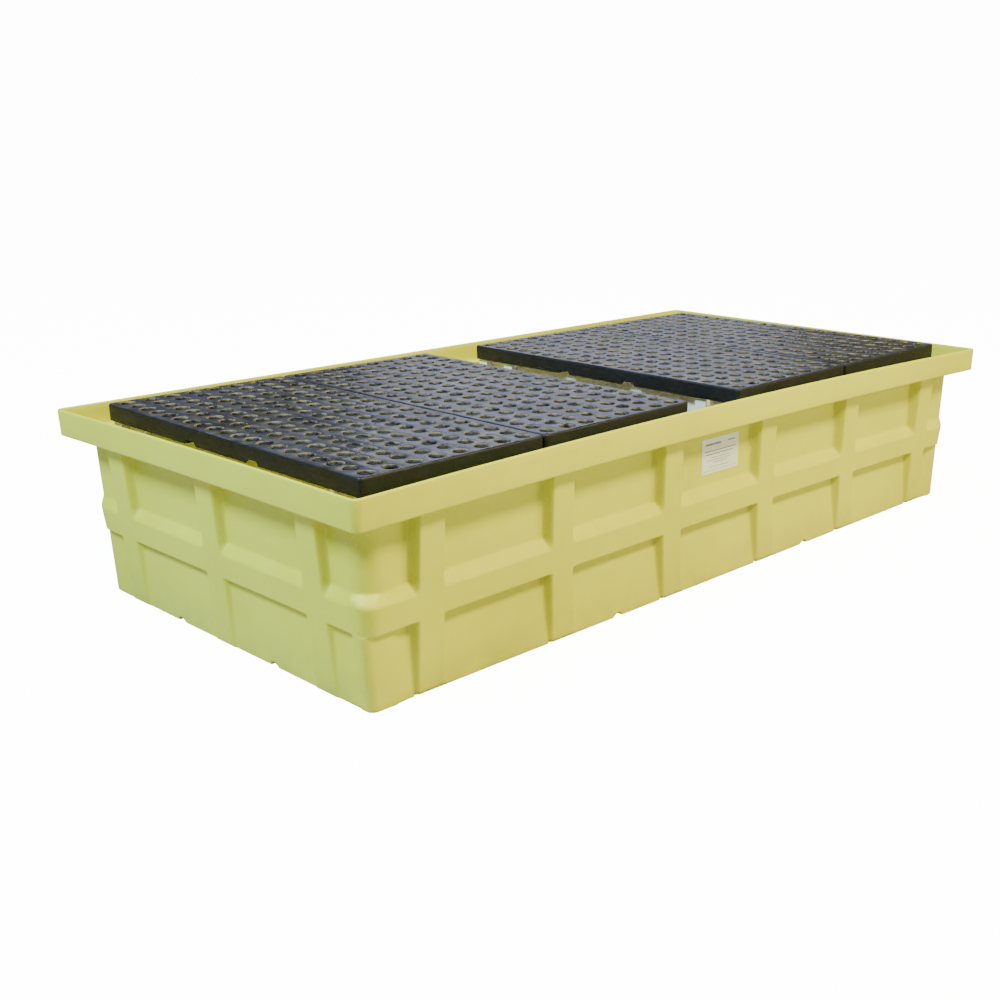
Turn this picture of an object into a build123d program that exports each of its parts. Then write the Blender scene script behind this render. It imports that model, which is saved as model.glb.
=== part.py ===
from build123d import *
import os

# Spill containment pallet for two intermediate bulk containers.
# One rotationally moulded tub holds two cribs of interlocking panels, and
# each crib carries two lift-out grates. All sizes are in millimetres.
# X runs along the tub, Y across it, +Z up; the origin is at the centre of
# the underside.

# ---- tub -----------------------------------------------------------------
LENGTH = 2900.0            # over the rim
WIDTH = 1482.0             # over the rim
HEIGHT = 573.0             # floor to rim
WALL = 9.0                 # moulded wall
FLOOR = 10.0               # moulded floor
COLLAR_Z = 491.0           # underside of the flared collar
COLLAR_WALL = 11.0
COLLAR_LEDGE = 10.0
COLLAR_FLARE = 3.0         # the collar leans out by this much
COLLAR_RADIUS = 24.0
RIM_ROUND = 4.0

PANEL_INSET_BASE = 79.0    # recessed wall surface, measured in from the rim
PANEL_INSET_TOP = 63.0
PANEL_RADIUS = 52.0
RIB_INSET_BASE = 76.5      # outer surface of the ribs and the belt
RIB_INSET_TOP = 34.0
RIB_WIDTH = 84.0           # across the face
RIB_TAPER = 0.4            # each side leans out this much per unit of depth
RIB_FOOT = 8.0             # ribs stop this far above the ground
LONG_RIB_PITCH = 474.0     # six ribs on each long side
LONG_RIB_COUNT = 6
SHORT_RIB_PITCH = 474.0    # three ribs on each short side
SHORT_RIB_COUNT = 3
POST_Y = 640.0             # a narrow post closes one end of each short side
POST_SETBACK = 2.0         # from the long side's wall surface
POST_RADIUS = 25.0
BELT_BOTTOM = 204.0        # the belt runs right round the tub
BELT_TOP = 276.0
BELT_LEDGE_TOP = 306.0     # where its sloping ledge meets the wall
BELT_RADIUS = 90.0
LEDGE_RUN = 50.0           # the ledge's slope runs on inside the wall
LEDGE_DROP = 2.5           # keeps the wall full under the sloping ledge

FOOT_GAP_WIDTH = 104.0     # shallow gap in the base edge below each long rib
FOOT_GAP_DEPTH = 25.0
DRAIN_RADIUS = 22.0        # half-round notch in the base edge
DRAIN_DROP = 9.0           # its centre lies this far below the underside
DRAIN_DEPTH = 35.0

# ---- grates --------------------------------------------------------------
GRATE_TOP = 585.0
GRATE_HEIGHT = 50.0
GRATE_X = 608.0
GRATE_Y = 1240.0
GRATE_GAP = 4.0            # between the two grates of a platform
PLATFORM_X = 732.0         # centre of each platform from the tub's centre
GRATE_CORNER = 12.0
DECK = 10.0                # thickness of the perforated deck
SKIRT = 7.0
HOLE_RADIUS = 23.0
HOLE_COLUMNS = 8
HOLE_ROWS = 20
HOLE_PITCH_X = 74.0
HOLE_PITCH_Y = 61.5
BAR_WIDTH = 9.0            # bar under each column of holes
BAR_DROP = 2.5             # its top lies this far below the deck's top
CROSS_RIB = 8.0            # ribs across the bars, under every second gap
CROSS_RIB_COUNT = 10
FINGER_COLUMNS = (1, 6)    # holes left clear of the bar in the end rows
NOTCH_WIDTH = 58.0         # notches in the lower edge of the long skirts
NOTCH_HEIGHT = 12.0

# ---- cribs ---------------------------------------------------------------
PANEL_THICK = 44.0
PANEL_TOP = GRATE_TOP - GRATE_HEIGHT
SIDE_PANEL_X = 551.0       # outer side panels from the platform's centre
CROSS_PANEL_END = 596.0    # half length of a cross panel that runs past them
CROSS_PANEL_Y = (-594.0, -457.0, -155.0, 155.0, 457.0, 594.0)
SLOT_CLEARANCE = 1.0
TAB_HEIGHT = 10.0          # tabs that stand inside the grates and locate them
TAB_CLEARANCE = 3.0
TAB_COLUMNS = 3            # hole pitches from a grate's middle to a tab
WINDOW_WIDTH = 200.0
WINDOW_HEIGHT = 290.0
WINDOW_RADIUS = 50.0
WINDOW_Z = 250.0
FLANGE = 12.0              # full thickness left around each moulded pocket
CROSS_POCKET = 17.0        # pocket depth on both faces of a cross panel
SIDE_POCKET = 32.0         # pocket depth on the inner face of a side panel

# ---- label ---------------------------------------------------------------
LABEL_WIDTH = 184.0
LABEL_HEIGHT = 112.0
LABEL_THICK = 0.6
LABEL_X = 25.0
LABEL_Z = 398.0
LABEL_GAP = 0.1


def centred(count, pitch):
    """Positions of count items at one pitch, centred on zero."""
    return [(i - (count - 1) / 2) * pitch for i in range(count)]


def panel_inset(z):
    """Inset of the recessed wall surface at a height."""
    return PANEL_INSET_BASE + (PANEL_INSET_TOP - PANEL_INSET_BASE) * z / COLLAR_Z


def rib_inset(z):
    """Inset of the rib and belt surface at a height."""
    return RIB_INSET_BASE + (RIB_INSET_TOP - RIB_INSET_BASE) * z / COLLAR_Z


def ledge_slope():
    """How far the belt's ledge runs inwards for each unit of height."""
    return (panel_inset(BELT_LEDGE_TOP) - rib_inset(BELT_TOP)) / (BELT_LEDGE_TOP - BELT_TOP)


def ring(inset, radius, z):
    """Rounded rectangle that lies inset from the rim at a height."""
    outline = RectangleRounded(LENGTH - 2 * inset, WIDTH - 2 * inset, radius)
    return Pos(0, 0, z) * outline


def skin(levels):
    """Solid through rounded rectangles, each (inset, radius, z)."""
    return loft([ring(*level) for level in levels], ruled=True)


def rib_plan(span, half_width, inward, z):
    """Outline of a slab right across the tub, widening from both end faces."""
    face = span / 2 - rib_inset(z) - inward
    root = span / 2 - panel_inset(z) - 3 * WALL
    wide = half_width + RIB_TAPER * (face - root)
    quarter = [(half_width, face), (wide, root)]
    half = quarter + [(x, -y) for x, y in reversed(quarter)]
    outline = half + [(-x, -y) for x, y in half]
    return Pos(0, 0, z) * Polygon(outline, align=None)


def all_ribs(half_width, inward, bottom, top):
    """Slabs whose ends are the ribs of the long and of the short sides."""
    across = loft([rib_plan(WIDTH, half_width, inward, z) for z in (bottom, top)], ruled=True)
    along = loft([rib_plan(LENGTH, half_width, inward, z) for z in (bottom, top)], ruled=True)
    along = Rot(0, 0, 90) * along
    slabs = [Pos(x, 0, 0) * across for x in centred(LONG_RIB_COUNT, LONG_RIB_PITCH)]
    slabs += [Pos(0, y, 0) * along for y in centred(SHORT_RIB_COUNT, SHORT_RIB_PITCH)]
    return slabs


def corner_posts():
    """Posts at two opposite corners, flush with the short sides' ribs."""
    levels = []
    for z in (0, COLLAR_Z):
        across = WIDTH - 2 * (panel_inset(z) + POST_SETBACK)
        outline = RectangleRounded(LENGTH - 2 * rib_inset(z), across, POST_RADIUS)
        levels.append(Pos(0, 0, z) * outline)
    shell = loft(levels, ruled=True)
    quarter = Box(LENGTH, WIDTH, HEIGHT, align=(Align.MIN, Align.MIN, Align.MIN))
    return shell & (Pos(0, POST_Y, 0) * quarter + Rot(0, 0, 180) * Pos(0, POST_Y, 0) * quarter)


def tub_outside():
    body = skin([(PANEL_INSET_BASE, PANEL_RADIUS, 0),
                 (PANEL_INSET_TOP, PANEL_RADIUS, COLLAR_Z)])
    belt = skin([(rib_inset(BELT_BOTTOM), BELT_RADIUS, BELT_BOTTOM),
                 (rib_inset(BELT_TOP), BELT_RADIUS, BELT_TOP),
                 (rib_inset(BELT_TOP) + ledge_slope() * LEDGE_RUN, BELT_RADIUS, BELT_TOP + LEDGE_RUN)])
    collar = skin([(COLLAR_FLARE, COLLAR_RADIUS, COLLAR_Z), (0, COLLAR_RADIUS, HEIGHT)])
    solid = body + belt
    for slab in all_ribs(RIB_WIDTH / 2, 0, 0, COLLAR_Z):
        solid += slab
    return solid + corner_posts() + collar


def tub_inside():
    """The hollow, one wall thickness inside the outer surfaces."""
    ledge_z = COLLAR_Z + COLLAR_LEDGE
    radius = PANEL_RADIUS - WALL
    body = skin([(panel_inset(FLOOR) + WALL, radius, FLOOR),
                 (panel_inset(ledge_z) + WALL, radius, ledge_z)])
    knee_z = BELT_TOP - LEDGE_DROP
    low_z = BELT_BOTTOM + WALL
    knee_inset = rib_inset(knee_z) + WALL
    belt = skin([(rib_inset(low_z) + WALL, BELT_RADIUS - WALL, low_z),
                 (knee_inset, BELT_RADIUS - WALL, knee_z),
                 (knee_inset + ledge_slope() * LEDGE_RUN, BELT_RADIUS - WALL, knee_z + LEDGE_RUN)])
    rim_inset = COLLAR_FLARE + COLLAR_WALL
    collar = skin([(rim_inset, COLLAR_RADIUS - COLLAR_WALL, ledge_z),
                   (COLLAR_WALL, COLLAR_RADIUS - COLLAR_WALL, HEIGHT)])
    hollow = body + belt
    taper_offset = WALL * ((1 + RIB_TAPER ** 2) ** 0.5 - RIB_TAPER)
    for slab in all_ribs(RIB_WIDTH / 2 - taper_offset, WALL, FLOOR, ledge_z):
        hollow += slab
    return hollow + collar


def base_edge_places():
    """Centre, direction out and half span of each base notch: ribs, then drains."""
    long_face = WIDTH / 2 - PANEL_INSET_BASE
    short_face = LENGTH / 2 - PANEL_INSET_BASE
    gaps = [(x, side * long_face, 0, side) for x in centred(LONG_RIB_COUNT, LONG_RIB_PITCH)
            for side in (-1, 1)]
    drains = [(side_x * LONG_RIB_PITCH, side * long_face, 0, side)
              for side_x in (-1, 1) for side in (-1, 1)]
    drains += [(side * short_face, side_y * SHORT_RIB_PITCH / 2, side, 0)
               for side_y in (-1, 1) for side in (-1, 1)]
    return gaps, drains


def foot_gap(place, grow):
    """Shallow box in the base edge; grow adds the wall around it."""
    x, y, _, side = place
    depth = FOOT_GAP_DEPTH + grow
    height = RIB_FOOT + grow
    overhang = 30.0
    block = Box(FOOT_GAP_WIDTH + 2 * grow, depth + overhang, height,
                align=(Align.CENTER, Align.CENTER, Align.MIN))
    return Pos(x, y + side * (overhang - depth) / 2, 0) * block


def drain_notch(place, grow):
    """Half-round notch across the base edge; grow adds the wall around it."""
    x, y, side_x, side_y = place
    depth = DRAIN_DEPTH + grow
    overhang = 30.0
    rod = Cylinder(DRAIN_RADIUS + grow, depth + overhang)
    turn = Rot(0, 90, 0) if side_x else Rot(90, 0, 0)
    shift = (overhang - depth) / 2
    return Pos(x + side_x * shift, y + side_y * shift, -DRAIN_DROP) * turn * rod


def make_tub():
    gaps, drains = base_edge_places()
    hollow = tub_inside()
    for place in gaps:
        hollow -= foot_gap(place, WALL)
    for place in drains:
        hollow -= drain_notch(place, WALL)
    tub = tub_outside() - hollow
    for place in gaps:
        tub -= foot_gap(place, 0)
    for place in drains:
        tub -= drain_notch(place, 0)
    rim = tub.edges().filter_by_position(Axis.Z, HEIGHT - 0.01, HEIGHT + 0.01)
    return fillet(rim, RIM_ROUND)


def make_grate():
    """One grate about its own centre, its top at GRATE_TOP."""
    bottom = GRATE_TOP - GRATE_HEIGHT
    columns = centred(HOLE_COLUMNS, HOLE_PITCH_X)
    rows = centred(HOLE_ROWS, HOLE_PITCH_Y)
    outline = RectangleRounded(GRATE_X, GRATE_Y, GRATE_CORNER)
    inner_x = GRATE_X - 2 * SKIRT
    inner_y = GRATE_Y - 2 * SKIRT
    holes = Sketch() + [Pos(x, y) * Circle(HOLE_RADIUS) for x in columns for y in rows]
    deck = extrude(Pos(0, 0, GRATE_TOP - DECK) * (outline - holes), DECK)
    skirt = extrude(Pos(0, 0, bottom) * (outline - Rectangle(inner_x, inner_y)),
                    GRATE_HEIGHT - DECK)
    bars = Sketch() + [Pos(x, 0) * Rectangle(BAR_WIDTH, inner_y) for x in columns]
    cross = Sketch() + [Pos(0, y) * Rectangle(inner_x, CROSS_RIB)
                        for y in centred(CROSS_RIB_COUNT, 2 * HOLE_PITCH_Y)]
    grate = deck + skirt
    grate += extrude(Pos(0, 0, bottom) * (bars + cross), GRATE_HEIGHT - DECK)
    grate += extrude(Pos(0, 0, GRATE_TOP - DECK) * bars, DECK - BAR_DROP)
    fingers = Sketch() + [Pos(columns[i], y) * Circle(HOLE_RADIUS)
                          for i in FINGER_COLUMNS for y in (rows[0], rows[-1])]
    grate -= extrude(Pos(0, 0, bottom) * fingers, GRATE_HEIGHT)
    notch = Box(GRATE_X + 2 * SKIRT, NOTCH_WIDTH, 2 * NOTCH_HEIGHT)
    notch -= Box(inner_x - 1, NOTCH_WIDTH, 2 * NOTCH_HEIGHT)
    for y in CROSS_PANEL_Y[2:4]:
        grate -= Pos(0, y, bottom) * notch
    return grate


def window(plane, offset):
    """Rounded opening through a panel, for liquid to pass."""
    outline = RectangleRounded(WINDOW_WIDTH, WINDOW_HEIGHT, WINDOW_RADIUS)
    return extrude(plane * (Pos(offset, WINDOW_Z) * outline), PANEL_THICK, both=True)


def pocket_span(slot_a, slot_b):
    """Centre and width of the pocket between two slots."""
    margin = PANEL_THICK / 2 + SLOT_CLEARANCE + FLANGE
    return (slot_a + slot_b) / 2, slot_b - slot_a - 2 * margin


def make_side_panel():
    """Panel along Y, slotted from above; its ends are half laps.

    The moulded pockets that lighten it are in its +X face.
    """
    height = PANEL_TOP - FLOOR
    half_length = CROSS_PANEL_Y[-1] + PANEL_THICK / 2
    slot_width = PANEL_THICK + 2 * SLOT_CLEARANCE
    panel = Pos(0, 0, FLOOR) * Box(PANEL_THICK, 2 * half_length, height,
                                   align=(Align.CENTER, Align.CENTER, Align.MIN))
    middle = FLOOR + height / 2
    slot = Box(2 * PANEL_THICK, slot_width, height,
               align=(Align.CENTER, Align.CENTER, Align.MIN))
    for y in CROSS_PANEL_Y:
        panel -= Pos(0, y, middle - SLOT_CLEARANCE / 2) * slot
    bays = [0.0] + [side * (CROSS_PANEL_Y[3] + CROSS_PANEL_Y[4]) / 2 for side in (-1, 1)]
    for y in bays:
        panel -= window(Plane.YZ, y)
    for slot_a, slot_b in zip(CROSS_PANEL_Y, CROSS_PANEL_Y[1:]):
        y, width = pocket_span(slot_a, slot_b)
        pocket = Box(2 * SIDE_POCKET, width, height - 2 * FLANGE)
        panel -= Pos(PANEL_THICK / 2, y, middle) * pocket
    return panel


def make_cross_panel(half_length, tabs):
    """Panel along X, slotted from below; some carry tabs for the grates."""
    height = PANEL_TOP - FLOOR
    slot_width = PANEL_THICK + 2 * SLOT_CLEARANCE
    panel = Pos(0, 0, FLOOR) * Box(2 * half_length, PANEL_THICK, height,
                                   align=(Align.CENTER, Align.CENTER, Align.MIN))
    middle = FLOOR + height / 2
    slot = Box(slot_width, 2 * PANEL_THICK, height,
               align=(Align.CENTER, Align.CENTER, Align.MAX))
    for x in (-SIDE_PANEL_X, 0, SIDE_PANEL_X):
        panel -= Pos(x, 0, middle + SLOT_CLEARANCE / 2) * slot
    for side in (-1, 1):
        for bay in (0.27, 0.73):
            panel -= window(Plane.XZ, side * bay * SIDE_PANEL_X)
        x, width = pocket_span(0, SIDE_PANEL_X)
        pocket = Box(width, 2 * CROSS_POCKET, height - 2 * FLANGE)
        for face in (-1, 1):
            panel -= Pos(side * x, face * PANEL_THICK / 2, middle) * pocket
    if tabs:
        tab_width = HOLE_PITCH_X - BAR_WIDTH - 2 * TAB_CLEARANCE
        tab = Box(tab_width, PANEL_THICK, TAB_HEIGHT,
                  align=(Align.CENTER, Align.CENTER, Align.MIN))
        reach = TAB_COLUMNS * HOLE_PITCH_X
        for grate_x in grate_offsets():
            for side in (-1, 1):
                panel += Pos(grate_x + side * reach, 0, PANEL_TOP) * tab
    return panel


def grate_offsets():
    """Centres of a platform's two grates from the platform's centre."""
    half = (GRATE_X + GRATE_GAP) / 2
    return (-half, half)


def make_label():
    """Thin plate on the middle upper panel of the front wall."""
    lean = (PANEL_INSET_BASE - PANEL_INSET_TOP) / COLLAR_Z
    plate = Box(LABEL_WIDTH, LABEL_THICK, LABEL_HEIGHT)
    y = -(WIDTH / 2 - panel_inset(LABEL_Z)) - LABEL_THICK / 2 - LABEL_GAP
    return Pos(LABEL_X, y, LABEL_Z) * Rot(lean * 57.2958, 0, 0) * plate


def crib_nodes(name, centre):
    nodes = {}
    side = make_side_panel()
    outward = 180 if centre > 0 else 0
    places = {"outer": (-SIDE_PANEL_X, 0), "middle": (0.0, 0), "inner": (SIDE_PANEL_X, 180)}
    for place, (x, turn) in places.items():
        panel = Pos(x, 0, 0) * Rot(0, 0, turn) * side
        nodes[f"{name}_side_panel_{place}"] = Pos(centre, 0, 0) * Rot(0, 0, outward) * panel
    plain = make_cross_panel(CROSS_PANEL_END, False)
    tabbed = make_cross_panel(SIDE_PANEL_X + PANEL_THICK / 2, True)
    for number, y in enumerate(CROSS_PANEL_Y, start=1):
        panel = tabbed if number in (3, 4) else plain
        nodes[f"{name}_cross_panel_{number}"] = Pos(centre, y, 0) * panel
    return nodes


def all_nodes():
    nodes = {"tub": make_tub(), "product_label": make_label()}
    nodes.update(crib_nodes("left_crib", -PLATFORM_X))
    nodes.update(crib_nodes("right_crib", PLATFORM_X))
    grate = make_grate()
    near, far = grate_offsets()
    for side, centre in (("left", -PLATFORM_X), ("right", PLATFORM_X)):
        outer, inner = (near, far) if centre < 0 else (far, near)
        nodes[f"{side}_outer_grate"] = Pos(centre + outer, 0, 0) * grate
        nodes[f"{side}_inner_grate"] = Pos(centre + inner, 0, 0) * grate
    return nodes


os.makedirs("parts", exist_ok=True)
for node, shape in all_nodes().items():
    export_step(shape, f"parts/{node}.step")
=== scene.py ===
from math import cos, pi, radians, sin, sqrt

import bmesh
import bpy
from mathutils import Matrix, Vector, noise


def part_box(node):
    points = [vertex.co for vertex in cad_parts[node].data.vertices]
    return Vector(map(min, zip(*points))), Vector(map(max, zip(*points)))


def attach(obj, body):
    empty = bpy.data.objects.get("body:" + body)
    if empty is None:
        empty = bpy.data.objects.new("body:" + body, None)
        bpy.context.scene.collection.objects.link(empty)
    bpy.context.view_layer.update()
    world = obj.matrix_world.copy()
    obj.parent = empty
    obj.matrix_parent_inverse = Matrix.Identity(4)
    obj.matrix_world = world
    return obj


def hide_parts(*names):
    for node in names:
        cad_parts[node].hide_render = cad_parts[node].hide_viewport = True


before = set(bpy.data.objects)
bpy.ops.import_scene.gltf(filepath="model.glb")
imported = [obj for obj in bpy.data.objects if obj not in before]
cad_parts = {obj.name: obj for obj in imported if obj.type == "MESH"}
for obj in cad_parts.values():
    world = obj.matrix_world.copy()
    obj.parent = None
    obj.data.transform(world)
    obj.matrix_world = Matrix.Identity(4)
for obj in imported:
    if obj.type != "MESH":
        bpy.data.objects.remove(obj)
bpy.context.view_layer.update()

# A long spill containment tub with two platforms of lift-out grates on
# interlocking panel cribs. Metres, in the CAD frame: X along the tub, Y
# across it, Z up, origin at the centre of the underside.

# ---- sizes ---------------------------------------------------------------
HALF_X, HALF_Y, RIM_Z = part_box("tub")[1]
GRATE_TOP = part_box("left_outer_grate")[1][2]

WALL = 0.009
FLOOR_Z = 0.010
COLLAR_Z = 0.491
COLLAR_WALL = 0.011
COLLAR_FLARE = 0.003
COLLAR_RADIUS = 0.024
INNER_LEDGE_Z = 0.501
PANEL_INSET = (0.0790, 0.0630)      # wall surface, at the base and at the collar
RIB_INSET = (0.0765, 0.0340)        # rib and belt surface, likewise
WALL_RADIUS = 0.055
BELT_RADIUS = 0.090
POST_RADIUS = 0.024                 # at the corners that a low post closes
POST_BELT_RADIUS = 0.048
BELT_BOTTOM = 0.204
BELT_TOP = 0.276
BELT_LEDGE_TOP = 0.306
RIB_HALF = 0.042
RIB_TAPER = 0.011
RIB_PITCH = 0.474
POST_FACE = 0.622                   # where a post starts, from mid side
FOOT_GAP_HALF = 0.052
FOOT_GAP_HEIGHT = 0.008
FOOT_GAP_DEPTH = 0.025
DRAIN_RADIUS = 0.022
DRAIN_DROP = 0.009
DRAIN_DEPTH = 0.035
CORNER_STEP = 0.008                 # how far the base's flat loops keep off the corners
LEAST_RADIUS = 0.006                # of any corner of the wall, however far in its loop lies

# The panels between the ribs are dished in, by height, more on the long sides.
LONG_DISH = ((0.0, 0.006), (0.10, 0.012), (0.204, 0.015), (0.306, 0.011), (0.501, 0.006))
SHORT_DISH = ((0.0, 0.0), (0.204, 0.003), (0.306, 0.005), (0.501, 0.003))
DISH_END = ((-1.298, 1.298), (-0.583, 0.600))    # along the long and the short sides
DISH_SLOPE = 0.034
DISH_SOFT = 0.006
EDGE_SOFT = 0.004                   # rounding of the edges of ribs, posts and the belt's ledge
RIPPLE = 0.0008

# Sag of the front wall towards the sump, at mid length: at the belt, under the
# collar and at the rim. The left end sags a little at the rim.
SAG_BELT_Z = 0.240
SAG_BELT = 0.029
SAG_COLLAR = 0.044
SAG_RIM = 0.058
SAG_BY_HEIGHT = ((0, 0), (SAG_BELT_Z, SAG_BELT), (INNER_LEDGE_Z, SAG_COLLAR), (RIM_Z, SAG_RIM))
SIDE_SAG_RIM = 0.010
SAG_FROM_Z = FLOOR_Z + 0.003        # the floor and the underside stay flat
SAG_MARGIN = 0.03                   # how far short of the corners the sag ends
SAG_REACH = (1.30, 0.60)            # the sag grows from the middle to these X and Y
SAG_SOFT = 0.05
RIM_TWIST = 0.005                   # two opposite corners stand high, two low

LONG_RIBS = [(i - 2.5) * RIB_PITCH for i in range(6)]
SHORT_RIBS = [(i - 1) * RIB_PITCH for i in range(3)]
LONG_DRAINS = (-RIB_PITCH, RIB_PITCH)
SHORT_DRAINS = (-RIB_PITCH / 2, RIB_PITCH / 2)


# ---- small maths ---------------------------------------------------------
def mix(a, b, t):
    return a + (b - a) * t


def soft_ramp(x, start, end, soft):
    """Rises from 0 at start to 1 at end, its two corners rounded over soft."""
    def knee(d):
        if d < -soft:
            return 0.0
        if d > soft:
            return d
        return (d + soft) ** 2 / (4 * soft)
    return (knee(x - start) - knee(x - end)) / (end - start)


def lerp_table(x, table):
    """Straight-line value between the (x, value) rows of a short table."""
    for (x0, v0), (x1, v1) in zip(table, table[1:]):
        if x <= x1:
            return mix(v0, v1, max(0.0, (x - x0) / (x1 - x0)))
    return table[-1][1]


# ---- shape of the tub's wall ----------------------------------------------
def tapered(inset, z):
    """Inset at a height, from the pair at the base and at the collar."""
    return mix(*inset, min(z, INNER_LEDGE_Z) / COLLAR_Z)


def low_mask(z):
    """1 up to the top of the belt, falling to 0 over its sloping ledge."""
    return 1 - soft_ramp(z, BELT_TOP, BELT_LEDGE_TOP, EDGE_SOFT)


def belt_mask(z):
    """1 on the belt, 0 off it: a sharp lower edge and a sloping ledge above."""
    return soft_ramp(z, BELT_BOTTOM - 0.003, BELT_BOTTOM + 0.0015, 0.002) * low_mask(z)


def rib_mask(u, centres):
    nearest = min(abs(u - c) for c in centres)
    return 1 - soft_ramp(nearest, RIB_HALF, RIB_HALF + RIB_TAPER, EDGE_SOFT)


def dish(u, z, side):
    """How much further in a panel lies between the ribs."""
    start, end = DISH_END[side % 2]
    rise = soft_ramp(u, start, start + DISH_SLOPE, DISH_SOFT)
    fall = soft_ramp(-u, -end, DISH_SLOPE - end, DISH_SOFT)
    return lerp_table(z, (LONG_DISH, SHORT_DISH)[side % 2]) * (rise * fall)


def wall_inset(u, z, side):
    """Inset of the outer wall surface from the rim, u along the side.

    The sides are numbered from the front, -Y, anticlockwise, and u runs that way too.
    """
    proud = belt_mask(z)
    if side % 2 == 0:
        raised = rib_mask(u, LONG_RIBS)
    else:
        post = low_mask(z) * soft_ramp(u, POST_FACE - RIB_TAPER, POST_FACE, EDGE_SOFT)
        raised = max(rib_mask(u, SHORT_RIBS), post)
    keep = 1 - (1 - proud) * (1 - raised)
    # Each side has its own patch of the ripple.
    ripple = noise.noise(Vector((u * 2.6, z * 3.1, 4.0 + 5.0 * side)))
    panel = tapered(PANEL_INSET, z) + dish(u, z, side)
    return mix(panel, tapered(RIB_INSET, z), keep) + RIPPLE * ripple


def corner_shape(z, side):
    """Insets of the short and the long side at the corner where a side ends, and its radius.

    A post closes the corner at the end of each short side, up to the belt.
    """
    proud = belt_mask(z)
    plain = mix(tapered(PANEL_INSET, z), tapered(RIB_INSET, z), proud)
    if side % 2 == 0:
        return (plain, plain, mix(WALL_RADIUS, BELT_RADIUS, proud))
    post = low_mask(z)
    radius = mix(WALL_RADIUS, mix(POST_RADIUS, POST_BELT_RADIUS, proud), post)
    return (mix(plain, tapered(RIB_INSET, z), post), plain, radius)


def sag(point):
    """Moves a wall point to where the sagged and twisted wall has it."""
    x, y, z = point
    if z < SAG_FROM_Z:
        return point
    front = lerp_table(z, SAG_BY_HEIGHT)
    along = max(0.0, 1 - (x / (HALF_X - SAG_MARGIN)) ** 2)
    y += front * along * soft_ramp(-y, 0.0, SAG_REACH[1], SAG_SOFT)
    across = max(0.0, 1 - (y / (HALF_Y - SAG_MARGIN)) ** 2)
    x += SIDE_SAG_RIM * z / RIM_Z * across * soft_ramp(-x, 0.0, SAG_REACH[0], SAG_SOFT)
    z += RIM_TWIST * (x / HALF_X) * (y / HALF_Y) * z / RIM_Z
    return (x, y, z)


# ---- columns round the tub -------------------------------------------------
# Offsets about the edge of a rib's face at which the wall needs a column.
EDGE_OFFSETS = (-0.006, -0.003, 0.0, 0.003, 0.0055, 0.008, 0.011, 0.014, 0.017)
LEAST_GAP = 0.0004                  # columns closer than this are merged
WIDEST_GAP = 0.045                  # and wider gaps are split


def side_columns(ribs, drains, start, end, edges):
    """Sorted positions along a side, dense where its shape changes."""
    columns = set(edges)
    for c in ribs:
        for side in (-1, 1):
            columns.update(c + side * (RIB_HALF + d) for d in EDGE_OFFSETS)
        columns.update((c - 0.02, c, c + 0.02))
    for c in drains:
        reach = sqrt(DRAIN_RADIUS ** 2 - DRAIN_DROP ** 2)
        columns.update(c + reach * sin(k * pi / 16) for k in range(-8, 9))
        columns.update((c - reach - 0.001, c + reach + 0.001))
    columns.update((start, end))
    marks = sorted(c for c in columns if start <= c <= end)
    dense = [marks[0]]
    for c in marks[1:]:
        gap = c - dense[-1]
        if gap < LEAST_GAP:
            continue
        parts = int(gap / WIDEST_GAP) + 1
        dense += [dense[-1] + gap * (k + 1) / parts for k in range(parts)]
    return dense


# Where the columns along a side start and end; the corners' arcs lie beyond.
LONG_LIMIT = 1.300
SHORT_START = -0.585
SHORT_END = 0.629
GAP_EDGES = [c + side * (FOOT_GAP_HALF + d) for c in LONG_RIBS for side in (-1, 1) for d in (-0.001, 0.0005)]
POST_EDGES = [POST_FACE - RIB_TAPER + d for d in EDGE_OFFSETS]
LONG_COLUMNS = side_columns(LONG_RIBS, LONG_DRAINS, -LONG_LIMIT, LONG_LIMIT, GAP_EDGES)
SHORT_COLUMNS = side_columns(SHORT_RIBS, SHORT_DRAINS, SHORT_START, SHORT_END, POST_EDGES)
ARC_STEPS = 8


def ring(z, inset_at, corner_at, lift=None):
    """Closed loop of points round the tub at one height.

    inset_at(u, side) is the inset along a side, and corner_at(side) is the
    insets and radius where it ends. lift(u, side) may raise a point.
    """
    points = []
    for side in range(4):
        long_side = side % 2 == 0
        turn = side * pi / 2
        out_u, out_v = (HALF_X, HALF_Y) if long_side else (HALF_Y, HALF_X)
        inset_x, inset_y, radius = corner_at(side)
        end_inset, side_inset = (inset_x, inset_y) if long_side else (inset_y, inset_x)
        arc_u = out_u - end_inset - radius
        arc_v = out_v - side_inset - radius
        local = []
        # Columns past the start of the arc gather there, so every loop has as many points.
        for u in LONG_COLUMNS if long_side else SHORT_COLUMNS:
            inset = inset_at(u, side) if u < arc_u else side_inset
            local.append((min(u, arc_u), inset - out_v, lift(u, side) if lift else 0.0))
        for k in range(ARC_STEPS + 1):
            a = k * pi / 2 / ARC_STEPS
            local.append((arc_u + radius * sin(a), -arc_v - radius * cos(a), 0.0))
        for u, v, rise in local:
            points.append(sag((u * cos(turn) - v * sin(turn), u * sin(turn) + v * cos(turn), max(z, rise))))
    return points


def wall_ring(z, extra=0.0, offset=0.0, lift=None):
    """Loop on the outer wall, or inside it by offset; extra rounds an edge."""
    shift = extra + offset

    def corner(side):
        inset_x, inset_y, radius = corner_shape(z, side)
        return (inset_x + shift, inset_y + shift, max(LEAST_RADIUS, radius - shift))
    return ring(z, lambda u, side: wall_inset(u, z, side) + shift, corner, lift)


def collar_ring(z, inset):
    total = COLLAR_FLARE * (RIM_Z - z) / (RIM_Z - COLLAR_Z) + inset
    radius = max(LEAST_RADIUS, COLLAR_RADIUS - total)
    return ring(z, lambda u, side: total, lambda side: (total, total, radius))


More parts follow.
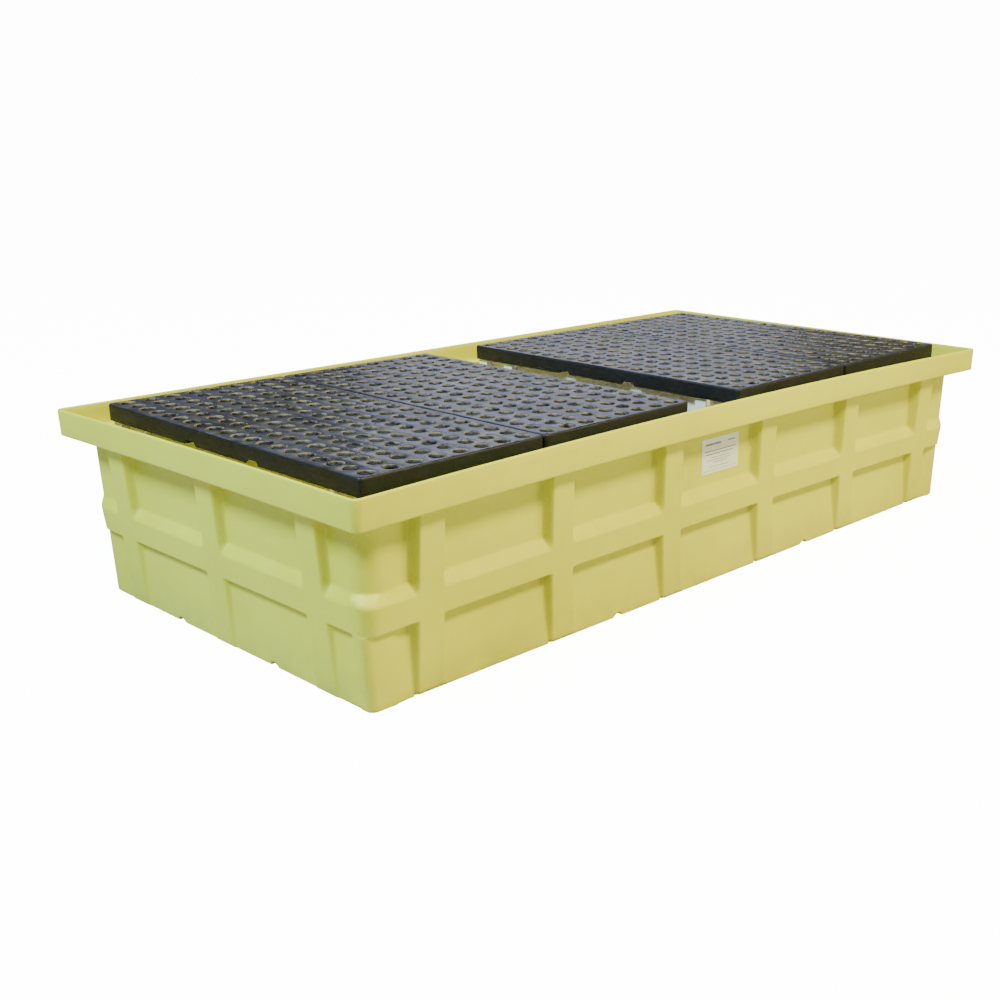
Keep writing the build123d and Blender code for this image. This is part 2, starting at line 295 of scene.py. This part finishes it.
def between(ring_a, ring_b, t, z):
    """Loop part of the way between two loops, level at one height, without the twist."""
    return [(mix(a[0], b[0], t), mix(a[1], b[1], t), z) for a, b in zip(ring_a, ring_b)]


def notch_height(u, side, grow=0.0):
    """Height of the notch in the base edge at a place along a side."""
    long_side = side % 2 == 0
    near = min(abs(u - c) for c in (LONG_DRAINS if long_side else SHORT_DRAINS))
    radius = DRAIN_RADIUS + grow
    if near < radius:
        high = sqrt(radius ** 2 - near ** 2) - DRAIN_DROP
        if high > 0:
            return high
    if long_side and min(abs(u - c) for c in LONG_RIBS) <= FOOT_GAP_HALF + grow:
        return FOOT_GAP_HEIGHT + grow
    return 0.0


def notch_depth(u, side):
    """How far in under the base a notch reaches."""
    drains = LONG_DRAINS if side % 2 == 0 else SHORT_DRAINS
    near_drain = min(abs(u - c) for c in drains) < 2 * DRAIN_RADIUS
    return DRAIN_DEPTH if near_drain else FOOT_GAP_DEPTH


def base_ring(z, offset, margin, lift):
    """Loop behind the notches, on the underside or on the floor."""
    def corner(side):
        inset_x, inset_y, radius = corner_shape(z, side)
        deep = offset + CORNER_STEP
        return (inset_x + deep, inset_y + deep, max(LEAST_RADIUS, radius - deep))
    return ring(z, lambda u, side: wall_inset(u, z, side) + offset + notch_depth(u, side) + margin,
                corner, lift)


# Heights of the wall's loops, close together across the belt's edges.
OUTER_HEIGHTS = (0.018, 0.05, 0.09, 0.13, 0.17, 0.195, 0.1985, 0.1995, 0.2010, 0.2025, 0.2040, 0.2055,
                 0.2070, 0.2090, 0.225, 0.250, 0.268, 0.2715, 0.2740, 0.2770, 0.2800, 0.2850, 0.2910,
                 0.2970, 0.3020, 0.3045, 0.3070, 0.3100, 0.3150, 0.345, 0.385, 0.425, 0.465, 0.480, 0.488)
INNER_HEIGHTS = (0.488, 0.450, 0.400, 0.350, 0.315, 0.307, 0.300, 0.290, 0.280, 0.272, 0.240, 0.215,
                 0.2085, 0.2055, 0.2040, 0.2025, 0.1990, 0.190, 0.150, 0.100, 0.060, 0.035, 0.024)


def outer_rings():
    """Loops from the underside up the outside to the collar."""
    rings = [base_ring(0.0, 0.0, 0.002, None), base_ring(0.0, 0.0, 0.0, notch_height)]
    for z, extra in ((0.0, 0.0055), (0.0012, 0.0022), (0.0035, 0.0006), (0.0070, 0.0)):
        rings.append(wall_ring(z, extra, 0.0, notch_height))
    rings += [wall_ring(z) for z in OUTER_HEIGHTS]
    under_wall = wall_ring(COLLAR_Z)
    under_edge = collar_ring(COLLAR_Z, 0.0)
    rings.append(between(wall_ring(COLLAR_Z, -0.0012), under_edge, 0.0, COLLAR_Z - 0.0008))
    for t in (0.10, 0.45, 0.80):
        rings.append(between(under_wall, under_edge, t, COLLAR_Z))
    for z, inset in ((COLLAR_Z, 0.0055), (COLLAR_Z + 0.0008, 0.0022), (COLLAR_Z + 0.0025, 0.0006)):
        rings.append(collar_ring(z, inset))
    rings += [collar_ring(z, 0.0) for z in (COLLAR_Z + 0.006, 0.520, 0.550)]
    return rings


def rim_rings():
    """Round top edge of the collar."""
    half = COLLAR_WALL / 2
    steps = 8
    return [collar_ring(RIM_Z - half + half * sin(pi * k / steps), half - half * cos(pi * k / steps))
            for k in range(steps + 1)]


def inner_rings():
    """Loops down the inside from the collar to the floor."""
    rings = [collar_ring(z, COLLAR_WALL) for z in (0.550, 0.525, 0.512)]
    ledge_outer = collar_ring(INNER_LEDGE_Z, COLLAR_WALL)
    for z, inset in ((0.5055, 0.0006), (0.5028, 0.0022), (0.5012, 0.005)):
        rings.append(collar_ring(z, COLLAR_WALL + inset))
    ledge_inner = wall_ring(INNER_LEDGE_Z, 0.0, WALL)
    for t in (0.35, 0.65, 0.88):
        rings.append(between(ledge_outer, ledge_inner, t, INNER_LEDGE_Z))
    rings.append(wall_ring(0.4998, -0.0018, WALL))
    rings.append(wall_ring(0.4965, -0.0004, WALL))
    rings += [wall_ring(z, 0.0, WALL) for z in INNER_HEIGHTS]

    def bump(u, side):
        """Height of the floor over a notch."""
        return notch_height(u, side, WALL)
    for z, extra in ((0.018, 0.0012), (0.0130, 0.0038), (FLOOR_Z + 0.0004, 0.0090)):
        rings.append(wall_ring(z, extra, WALL, bump))
    rings.append(base_ring(FLOOR_Z, WALL, 0.0, bump))
    rings.append(base_ring(FLOOR_Z, WALL, 0.003, None))
    return rings


def lofted(name, rings):
    """Mesh through closed loops, with a flat face over each end."""
    mesh = bpy.data.meshes.new(name)
    count = len(rings[0])
    points = [p for loop in rings for p in loop]
    faces = []
    for r in range(len(rings) - 1):
        for k in range(count):
            n = (k + 1) % count
            faces.append((r * count + k, r * count + n, (r + 1) * count + n, (r + 1) * count + k))
    faces.append(tuple(reversed(range(count))))
    last = (len(rings) - 1) * count
    faces.append(tuple(range(last, last + count)))
    mesh.from_pydata(points, [], faces)
    return finish_mesh(mesh)


def finish_mesh(mesh, smooth=True, weld=0.00001):
    """Welds, turns the faces outwards and shades the mesh."""
    bm = bmesh.new()
    bm.from_mesh(mesh)
    bmesh.ops.remove_doubles(bm, verts=bm.verts, dist=weld)
    bmesh.ops.dissolve_degenerate(bm, edges=bm.edges, dist=weld)
    bmesh.ops.recalc_face_normals(bm, faces=bm.faces)
    bm.to_mesh(mesh)
    bm.free()
    if smooth:
        mesh.shade_smooth()
    return mesh


def add_piece(name, mesh, body, materials, replaced=()):
    piece = bpy.data.objects.new(name, mesh)
    bpy.context.scene.collection.objects.link(piece)
    for material in materials:
        mesh.materials.append(material)
    if replaced:
        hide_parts(*replaced)
    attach(piece, body)
    return piece


# ---- materials -------------------------------------------------------------
class Nodes:
    """Short way to write a node material."""

    def __init__(self, name):
        self.material = bpy.data.materials.new(name)
        self.material.use_nodes = True
        self.tree = self.material.node_tree
        self.shader = self.tree.nodes["Principled BSDF"]
        coords = self.tree.nodes.new("ShaderNodeTexCoord")
        self.position = coords.outputs["Object"]

    def node(self, kind, inputs=None, **settings):
        made = self.tree.nodes.new(kind)
        for key, value in settings.items():
            setattr(made, key, value)
        for key, value in (inputs or {}).items():
            self.put(value, made.inputs[key])
        return made

    def put(self, value, socket):
        if isinstance(value, bpy.types.NodeSocket):
            self.tree.links.new(value, socket)
        else:
            socket.default_value = value

    def stretched(self, scale):
        return self.node("ShaderNodeMapping", {"Vector": self.position, "Scale": scale}).outputs[0]

    def noise(self, scale, detail=3.0, rough=0.55, vector=None):
        made = self.node("ShaderNodeTexNoise", {"Vector": vector or self.position, "Scale": scale,
                                                "Detail": detail, "Roughness": rough})
        return made.outputs["Fac"]

    def ramp(self, value, low, high, start=0.0, end=1.0):
        """Value mapped from low..high to start..end, clamped."""
        made = self.node("ShaderNodeMapRange", {"Value": value, "From Min": low, "From Max": high,
                                                "To Min": start, "To Max": end})
        return made.outputs[0]

    def math(self, operation, a, b=0.0):
        return self.node("ShaderNodeMath", {0: a, 1: b}, operation=operation).outputs[0]

    def blend(self, amount, a, b, kind="MIX"):
        made = self.node("ShaderNodeMix", data_type="RGBA", blend_type=kind)
        self.put(amount, made.inputs[0])
        self.put(a, made.inputs[6])
        self.put(b, made.inputs[7])
        return made.outputs[2]

    def axis(self, which, source=None):
        split = self.node("ShaderNodeSeparateXYZ", {0: source or self.position})
        return split.outputs[which]

    def normal_axis(self, which):
        geometry = self.node("ShaderNodeNewGeometry")
        return self.axis(which, geometry.outputs["Normal"])

    def bump(self, layers):
        """Bump from (height, distance in metres) layers, one on another."""
        normal = None
        for height, distance in layers:
            inputs = {"Height": height, "Distance": distance, "Strength": 1.0}
            if normal is not None:
                inputs["Normal"] = normal
            normal = self.node("ShaderNodeBump", inputs).outputs[0]
        self.put(normal, self.shader.inputs["Normal"])

    def finish(self, colour, roughness, specular=0.5):
        self.put(colour, self.shader.inputs["Base Color"])
        self.put(roughness, self.shader.inputs["Roughness"])
        self.shader.inputs["Specular IOR Level"].default_value = specular
        return self.material


def rgb(r, g, b):
    return (r, g, b, 1.0)


def tub_material():
    n = Nodes("tub_polyethylene")
    broad = n.noise(1.7, 2.0)
    mottled = n.noise(14.0, 4.0)
    colour = n.blend(n.ramp(broad, 0.35, 0.65), rgb(0.530, 0.505, 0.020), rgb(0.590, 0.565, 0.032))
    colour = n.blend(n.ramp(mottled, 0.35, 0.75, 0.0, 0.30), colour, rgb(0.65, 0.635, 0.060))
    scratched = n.noise(60.0, 6.0, 0.75, n.stretched((1.0, 1.0, 0.12)))
    colour = n.blend(n.ramp(scratched, 0.62, 0.80, 0.0, 0.35), colour, rgb(0.74, 0.72, 0.18))
    grime = n.math("MULTIPLY", n.ramp(n.axis(2), 0.0, 0.11, 1.0, 0.0), n.ramp(n.noise(9.0, 5.0), 0.35, 0.70))
    colour = n.blend(n.math("MULTIPLY", grime, 0.40), colour, rgb(0.31, 0.28, 0.08))
    dusty = n.math("MULTIPLY", n.ramp(n.normal_axis(2), 0.55, 0.95), n.ramp(n.noise(22.0, 4.0), 0.40, 0.75))
    colour = n.blend(n.math("MULTIPLY", dusty, 0.20), colour, rgb(0.52, 0.49, 0.18))
    roughness = n.ramp(mottled, 0.30, 0.75, 0.42, 0.58)
    n.bump([(n.noise(5.0, 2.0), 0.0016), (n.noise(240.0, 3.0), 0.00022), (scratched, 0.00010)])
    return n.finish(colour, roughness, 0.30)


def grate_material():
    n = Nodes("grate_polyethylene")
    up = n.ramp(n.normal_axis(2), 0.55, 0.95)
    wear_and_sheen = n.ramp(n.noise(5.5, 6.0, 0.65), 0.38, 0.68)
    rubbed = n.ramp(n.noise(45.0, 6.0, 0.75, n.stretched((1.0, 0.25, 1.0))), 0.50, 0.72)
    dust = n.ramp(n.noise(16.0, 5.0, 0.6), 0.45, 0.75)
    # Upward faces turn bluish grey in patches: partly real wear, partly painted sheen on the decks' tops.
    colour = n.blend(n.math("MULTIPLY", up, wear_and_sheen), rgb(0.008, 0.008, 0.010), rgb(0.029, 0.028, 0.048))
    streaks = n.math("MULTIPLY", up, rubbed)
    colour = n.blend(n.math("MULTIPLY", streaks, 0.45), colour, rgb(0.12, 0.125, 0.165))
    colour = n.blend(n.math("MULTIPLY", n.math("MULTIPLY", up, dust), 0.35), colour, rgb(0.13, 0.11, 0.08))
    # Below the deck's top everything keeps the dark side colour, the bars' tops down in the holes too: there
    # it is partly painted shade, partly dirt.
    deck = n.ramp(n.axis(2), GRATE_TOP - 0.0024, GRATE_TOP - 0.0012)
    scuffed = n.ramp(n.noise(70.0, 6.0, 0.75, n.stretched((0.2, 0.2, 1.6))), 0.56, 0.76, 0.0, 0.35)
    side = n.blend(scuffed, rgb(0.006, 0.006, 0.007), rgb(0.060, 0.062, 0.072))
    colour = n.blend(deck, side, colour)
    roughness = n.math("ADD", n.ramp(wear_and_sheen, 0.0, 1.0, 0.26, 0.42), n.ramp(deck, 0.0, 1.0, 0.18, 0.0))
    n.bump([(n.noise(7.0, 2.0), 0.0010), (n.noise(300.0, 3.0), 0.00018), (rubbed, 0.00012)])
    return n.finish(colour, roughness, 0.32)


def hole_edge_dust_and_light_material():
    """Dust and scuffs that collect on the edges of a grate's holes, and painted light on the holes' walls.
    """
    n = Nodes("grate_hole_edge_dust_and_light")
    patchy = n.ramp(n.noise(38.0, 5.0, 0.65), 0.40, 0.62)
    # The beige is partly dust on the edges, partly painted light on the lit walls of the holes.
    colour = n.blend(patchy, rgb(0.020, 0.019, 0.018), rgb(0.20, 0.165, 0.105))
    n.bump([(n.noise(300.0, 3.0), 0.00018)])
    return n.finish(colour, n.ramp(patchy, 0.0, 1.0, 0.35, 0.70), 0.4)


def crib_material():
    n = Nodes("crib_polyethylene")
    broad = n.noise(4.0, 3.0)
    colour = n.blend(n.ramp(broad, 0.35, 0.65), rgb(0.80, 0.77, 0.68), rgb(0.88, 0.86, 0.80))
    stained = n.ramp(n.noise(18.0, 6.0, 0.7, n.stretched((1.0, 1.0, 0.35))), 0.52, 0.74, 0.0, 0.40)
    colour = n.blend(stained, colour, rgb(0.50, 0.43, 0.28))
    roughness = n.ramp(broad, 0.3, 0.7, 0.42, 0.60)
    n.bump([(n.noise(12.0, 2.0), 0.0010), (n.noise(260.0, 3.0), 0.00020)])
    return n.finish(colour, roughness, 0.45)


def label_material():
    n = Nodes("label_film")
    fibre = n.noise(70.0, 4.0)
    colour = n.blend(n.ramp(fibre, 0.3, 0.7), rgb(0.66, 0.65, 0.58), rgb(0.73, 0.72, 0.66))
    smudge = n.ramp(n.noise(26.0, 5.0), 0.52, 0.74, 0.0, 0.30)
    colour = n.blend(smudge, colour, rgb(0.52, 0.50, 0.40))
    n.bump([(n.noise(90.0, 2.0), 0.00015)])
    return n.finish(colour, n.ramp(fibre, 0.3, 0.7, 0.32, 0.45), 0.5)


def ink_material():
    n = Nodes("label_ink")
    patchy = n.noise(420.0, 3.0)
    colour = n.blend(n.ramp(patchy, 0.42, 0.60), rgb(0.10, 0.10, 0.11), rgb(0.30, 0.30, 0.28))
    return n.finish(colour, n.ramp(patchy, 0.3, 0.7, 0.40, 0.55), 0.4)


TUB = tub_material()
GRATE = grate_material()
HOLE_EDGE = hole_edge_dust_and_light_material()
CRIB = crib_material()
LABEL = label_material()
INK = ink_material()

# ---- tub -------------------------------------------------------------------
tub_mesh = lofted("tub_moulding", outer_rings() + rim_rings() + inner_rings())
add_piece("tub_moulding", tub_mesh, "tub", [TUB], ["tub"])


# ---- label -----------------------------------------------------------------
LABEL_LIFT = 0.0004
LABEL_THICK = 0.0005
INK_THICK = 0.00012
PATCH_STEP = 0.012                 # widest quad of a patch, so that it follows the wall


def on_front_wall(x, z, lift):
    """Point on the sagged front wall, lifted off it."""
    return sag((x, wall_inset(x, z, 0) - HALF_Y - lift, z))


def wall_patch(bm, x0, x1, z0, z1, lift, thick, material_index):
    """Thin plate that lies on the front wall."""
    across = max(2, int((x1 - x0) / PATCH_STEP))
    layers = []
    for depth in (lift, lift + thick):
        rows = [[bm.verts.new(on_front_wall(mix(x0, x1, i / across), z, depth)) for i in range(across + 1)]
                for z in (z0, z1)]
        layers.append(rows)
    back, front = layers
    quads = []
    for i in range(across):
        quads.append((front[0][i], front[0][i + 1], front[1][i + 1], front[1][i]))
        quads.append((back[0][i + 1], back[0][i], back[1][i], back[1][i + 1]))
        quads.append((back[0][i], back[0][i + 1], front[0][i + 1], front[0][i]))
        quads.append((back[1][i + 1], back[1][i], front[1][i], front[1][i + 1]))
    for i in (0, across):
        quads.append((back[0][i], front[0][i], front[1][i], back[1][i]))
    for quad in quads:
        bm.faces.new(quad).material_index = material_index


def label_mesh():
    low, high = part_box("product_label")
    x0, x1, z0, z1 = low[0], high[0], low[2], high[2]
    wide = x1 - x0
    tall = z1 - z0
    bm = bmesh.new()
    wall_patch(bm, x0, x1, z0, z1, LABEL_LIFT, LABEL_THICK, 0)
    # Bars for lines of print: left and right ends, foot and height, as parts of the label.
    rules = ((0.10, 0.52, 0.80, 0.055), (0.70, 0.90, 0.82, 0.035), (0.08, 0.92, 0.62, 0.028),
             (0.12, 0.84, 0.53, 0.028), (0.26, 0.76, 0.43, 0.018), (0.14, 0.80, 0.36, 0.018),
             (0.30, 0.68, 0.29, 0.018), (0.22, 0.74, 0.17, 0.014), (0.05, 0.95, 0.08, 0.008))
    for left, right, foot, height in rules:
        wall_patch(bm, x0 + left * wide, x0 + right * wide, z0 + foot * tall,
                   z0 + (foot + height) * tall, LABEL_LIFT + LABEL_THICK, INK_THICK, 1)
    mesh = bpy.data.meshes.new("printed_label")
    bm.to_mesh(mesh)
    bm.free()
    return finish_mesh(mesh, smooth=False, weld=0.000001)


add_piece("printed_label", label_mesh(), "tub", [LABEL, INK], ["product_label"])

# ---- grates ----------------------------------------------------------------
HOLE_COLUMNS = 8
HOLE_ROWS = 20
PITCH_X = 0.074
PITCH_Y = 0.0615
HOLE_RADIUS = 0.023
DECK = 0.010
SKIRT = 0.007
GRATE_CORNER = 0.012
BAR_HALF = 0.0045
BAR_DROP = 0.0025
CROSS_HALF = 0.004
FINGER_COLUMNS = (1, 6)
NOTCH_ROWS = (14, 21)              # skirt notches, in sevenths of the hole pitch
NOTCH_HEIGHT = 0.012
SIDE_POINTS = 7                    # points along each side of a hole's cell
# A hole's wall from the deck down: how far out from its radius, how far down.
HOLE_PROFILE = ((0.0016, 0.0), (0.0006, 0.0003), (0.0, 0.0013), (0.0, DECK - 0.0008), (0.0008, DECK))
HOLE_EDGE_LEVELS = (1, 2, 3)       # bands of it that have the hole edge's material


def cell_outline():
    """Points of a hole's cell, and the matching angles round the hole."""
    outline = []
    for side in range(4):
        for k in range(SIDE_POINTS):
            t = -0.5 + k / SIDE_POINTS
            u, v = ((t, -0.5), (0.5, t), (-t, 0.5), (-0.5, -t))[side]
            outline.append((u * PITCH_X, v * PITCH_Y, radians(-135 + 90 * (side + k / SIDE_POINTS))))
    return outline


def bridge(bm, loop_a, loop_b, material_index=0):
    """Quads between two closed loops."""
    count = len(loop_a)
    for k in range(count):
        n = (k + 1) % count
        face = bm.faces.new((loop_a[k], loop_a[n], loop_b[n], loop_b[k]))
        face.material_index = material_index


def add_hole(bm, cx, cy, top, outline):
    """Deck round one hole, with a softened edge, and its underside."""
    rims = []
    for grow, drop in HOLE_PROFILE:
        radius = HOLE_RADIUS + grow
        rims.append([bm.verts.new((cx + radius * cos(a), cy + radius * sin(a), top - drop))
                     for _, _, a in outline])
    upper = [bm.verts.new((cx + u, cy + v, top)) for u, v, _ in outline]
    lower = [bm.verts.new((cx + u, cy + v, top - DECK)) for u, v, _ in outline]
    loops = [upper] + rims + [lower]
    for level, (a, b) in enumerate(zip(loops, loops[1:])):
        bridge(bm, a, b, 1 if level in HOLE_EDGE_LEVELS else 0)


def skirt_path():
    """Places round the holes' cells: side, distance along it, its turn, and the bend at a corner."""
    path = []
    for side in range(4):
        turn = side * pi / 2 - pi / 2
        cells, pitch = ((HOLE_COLUMNS, PITCH_X), (HOLE_ROWS, PITCH_Y))[side % 2]
        steps = cells * SIDE_POINTS
        along = cells * pitch / 2
        for k in range(1, steps):
            path.append((side, -along + 2 * along * k / steps, turn, None))
        for k in range(6):
            path.append((side, along, turn, k * pi / 10))
    return path


def skirt_point(entry, inset, z, size_x, size_y):
    """Point of the skirt, inset from the grate's edge."""
    side, u, turn, bend = entry
    limit_across = (size_y if side % 2 == 0 else size_x) / 2
    limit_along = (size_x if side % 2 == 0 else size_y) / 2
    edge = limit_across - inset
    if bend is None:
        local = (u, edge)
    elif inset >= SKIRT:            # the inner face has square corners
        local = (limit_along - inset, edge)
    else:
        radius = GRATE_CORNER - inset
        local = (limit_along - inset - radius + radius * sin(bend), edge - radius + radius * cos(bend))
    direction = (cos(turn), sin(turn))
    sideways = (-sin(turn), cos(turn))
    return (local[0] * sideways[0] + local[1] * direction[0],
            local[0] * sideways[1] + local[1] * direction[1], z)


def notched(entry):
    """Whether a skirt point lies in one of the notches."""
    side, u, _, bend = entry
    if side % 2 == 0 or bend is not None:
        return False
    step = PITCH_Y / SIDE_POINTS
    return NOTCH_ROWS[0] + 0.5 < abs(u) / step < NOTCH_ROWS[1] - 0.5


def add_skirt(bm, low, high):
    """Rounded edge of the deck and the skirt below it, in and out."""
    size_x = high[0] - low[0]
    size_y = high[1] - low[1]
    top, bottom = high[2], low[2]
    margin_x = (size_x - HOLE_COLUMNS * PITCH_X) / 2
    margin_y = (size_y - HOLE_ROWS * PITCH_Y) / 2
    path = skirt_path()

    def cells_loop(z):
        """Loop along the outer edges of the holes' cells."""
        verts = []
        for side, u, turn, _ in path:
            own = size_y / 2 - margin_y if side % 2 == 0 else size_x / 2 - margin_x
            point = (u * -sin(turn) + own * cos(turn), u * cos(turn) + own * sin(turn), z)
            verts.append(bm.verts.new(point))
        return verts

    def skirt_loop(inset, z):
        """Loop on the skirt, which keeps above the notches."""
        verts = []
        for entry in path:
            height = max(z, bottom + NOTCH_HEIGHT) if notched(entry) else z
            verts.append(bm.verts.new(skirt_point(entry, inset, height, size_x, size_y)))
        return verts

    levels = ((0.0036, top - 0.0003), (0.0021, top - 0.0010), (0.0009, top - 0.0024), (0.0002, top - 0.0042),
              (0.0, top - 0.0065), (0.0, top - 0.020), (0.0, bottom + NOTCH_HEIGHT + 0.001),
              (0.0, bottom + NOTCH_HEIGHT), (0.0, bottom + 0.0010), (0.0010, bottom), (0.0060, bottom),
              (SKIRT, bottom + 0.001), (SKIRT, bottom + NOTCH_HEIGHT), (SKIRT, top - DECK))
    loops = [cells_loop(top)] + [skirt_loop(inset, z) for inset, z in levels] + [cells_loop(top - DECK)]
    for a, b in zip(loops, loops[1:]):
        bridge(bm, a, b)


def add_bar(bm, x, y, half_x, half_y, top, bottom):
    """Bar with softened upper edges."""
    soft = 0.0012
    levels = ((0.0, bottom), (0.0, top - soft), (soft * 0.35, top - soft * 0.35), (soft, top))
    signs = ((-1, -1), (1, -1), (1, 1), (-1, 1))
    loops = []
    for inset, z in levels:
        a, b = half_x - inset, half_y - inset
        loops.append([bm.verts.new((x + sx * a, y + sy * b, z)) for sx, sy in signs])
    for a, b in zip(loops, loops[1:]):
        bridge(bm, a, b)
    bm.faces.new(loops[-1])
    bm.faces.new(list(reversed(loops[0])))


def grate_mesh(name, low, high):
    """One grate about its own centre."""
    bm = bmesh.new()
    outline = cell_outline()
    top, bottom = high[2], low[2]
    columns = [(i - (HOLE_COLUMNS - 1) / 2) * PITCH_X for i in range(HOLE_COLUMNS)]
    rows = [(i - (HOLE_ROWS - 1) / 2) * PITCH_Y for i in range(HOLE_ROWS)]
    for x in columns:
        for y in rows:
            add_hole(bm, x, y, top, outline)
    add_skirt(bm, low, high)
    inner_y = (high[1] - low[1]) / 2 - SKIRT
    for i, x in enumerate(columns):
        reach = rows[-1] - HOLE_RADIUS if i in FINGER_COLUMNS else inner_y
        add_bar(bm, x, 0.0, BAR_HALF, reach, top - BAR_DROP, bottom + 0.0002)
    inner_x = (high[0] - low[0]) / 2 - SKIRT
    for i in range(HOLE_ROWS // 2):
        y = (i - (HOLE_ROWS / 2 - 1) / 2) * 2 * PITCH_Y
        add_bar(bm, 0.0, y, inner_x, CROSS_HALF, top - DECK + 0.001, bottom + 0.0003)
    mesh = bpy.data.meshes.new(name)
    bm.to_mesh(mesh)
    bm.free()
    return finish_mesh(mesh, weld=0.00005)


for side in ("left", "right"):
    for place in ("outer", "inner"):
        node = f"{side}_{place}_grate"
        low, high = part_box(node)
        centre = ((low[0] + high[0]) / 2, (low[1] + high[1]) / 2, 0.0)
        mesh = grate_mesh(f"{node}_moulding", low, high)
        mesh.transform(Matrix.Translation(centre))
        add_piece(f"{node}_moulding", mesh, node, [GRATE, HOLE_EDGE], [node])

# ---- cribs -----------------------------------------------------------------
for name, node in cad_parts.items():
    if "_crib_" in name:
        for slot in node.material_slots:
            slot.material = CRIB


# ---- studio ----------------------------------------------------------------
AMBIENT = 0.13
BACKDROP = 14.0                    # the backdrop's and the floor's brightness to the camera only
FLOOR_GLOW = 14.0
FLOOR_HALF = 40.0
FLOOR_DROP = 0.0006                # keeps the floor clear of the tub's underside
LIGHT_TARGET = (0.0, 0.0, 0.3)
CAMERA_AZIMUTH = -46.54
CAMERA_ELEVATION = 16.65
CAMERA_LENS = 46.16
CAMERA_SHIFT = (-0.090, 0.010)
CAMERA_PLACE = (-3.0768, -3.0082, 1.3761)


def add_floor():
    mesh = bpy.data.meshes.new("studio_floor")
    far = FLOOR_HALF
    mesh.from_pydata([(-far, -far, 0), (far, -far, 0), (far, far, 0), (-far, far, 0)], [], [(0, 1, 2, 3)])
    n = Nodes("studio_paper")
    n.put(rgb(0.45, 0.45, 0.45), n.shader.inputs["Base Color"])
    n.put(rgb(1.0, 1.0, 1.0), n.shader.inputs["Emission Color"])
    seen = n.node("ShaderNodeLightPath").outputs["Is Camera Ray"]
    n.put(n.ramp(seen, 0.0, 1.0, 0.0, FLOOR_GLOW), n.shader.inputs["Emission Strength"])
    n.shader.inputs["Roughness"].default_value = 0.9
    mesh.materials.append(n.material)
    floor = bpy.data.objects.new("studio_floor", mesh)
    floor.location = (0, 0, -FLOOR_DROP)
    bpy.context.scene.collection.objects.link(floor)


def add_area(name, place, target, size, power, colour):
    data = bpy.data.lights.new(name, "AREA")
    data.shape = "RECTANGLE"
    data.size, data.size_y = size
    data.energy = power
    data.color = colour
    light = bpy.data.objects.new(name, data)
    light.location = place
    light.rotation_euler = (Vector(target) - Vector(place)).to_track_quat("-Z", "Y").to_euler()
    bpy.context.scene.collection.objects.link(light)


def add_world():
    """Dim light all round, in front of a bright backdrop."""
    world = bpy.data.worlds.new("studio")
    world.use_nodes = True
    tree = world.node_tree
    background = tree.nodes["Background"]
    background.inputs["Color"].default_value = (1.0, 1.0, 1.0, 1.0)
    seen = tree.nodes.new("ShaderNodeLightPath")
    strength = tree.nodes.new("ShaderNodeMapRange")
    strength.inputs["To Min"].default_value = AMBIENT
    strength.inputs["To Max"].default_value = BACKDROP
    tree.links.new(seen.outputs["Is Camera Ray"], strength.inputs["Value"])
    tree.links.new(strength.outputs[0], background.inputs["Strength"])
    bpy.context.scene.world = world


def add_camera():
    azimuth, elevation = radians(CAMERA_AZIMUTH), radians(CAMERA_ELEVATION)
    back = Vector((sin(azimuth) * cos(elevation), -cos(azimuth) * cos(elevation), sin(elevation)))
    data = bpy.data.cameras.new("photo_camera")
    data.sensor_width = 36.0
    data.lens = CAMERA_LENS
    data.shift_x, data.shift_y = CAMERA_SHIFT
    camera = bpy.data.objects.new("photo_camera", data)
    camera.rotation_euler = back.to_track_quat("Z", "Y").to_euler()
    camera.location = CAMERA_PLACE
    bpy.context.scene.collection.objects.link(camera)
    bpy.context.scene.camera = camera


add_floor()
add_world()
add_area("key_light", (0.4, -4.2, 5.4), LIGHT_TARGET, (1.2, 1.2), 740.0, (1.0, 0.92, 0.48))
add_area("front_light", (4.4, -5.8, 2.2), LIGHT_TARGET, (2.0, 1.6), 250.0, (1.0, 0.88, 0.46))
add_area("left_light", (-4.9, 0.4, 5.3), (-1.0, 0.0, 0.3), (1.5, 1.5), 1000.0, (0.58, 0.82, 1.0))
add_area("back_light", (4.6, 4.4, 2.4), (0.4, 0.0, 0.55), (3.6, 1.2), 44.0, (0.66, 0.70, 1.0))
add_camera()
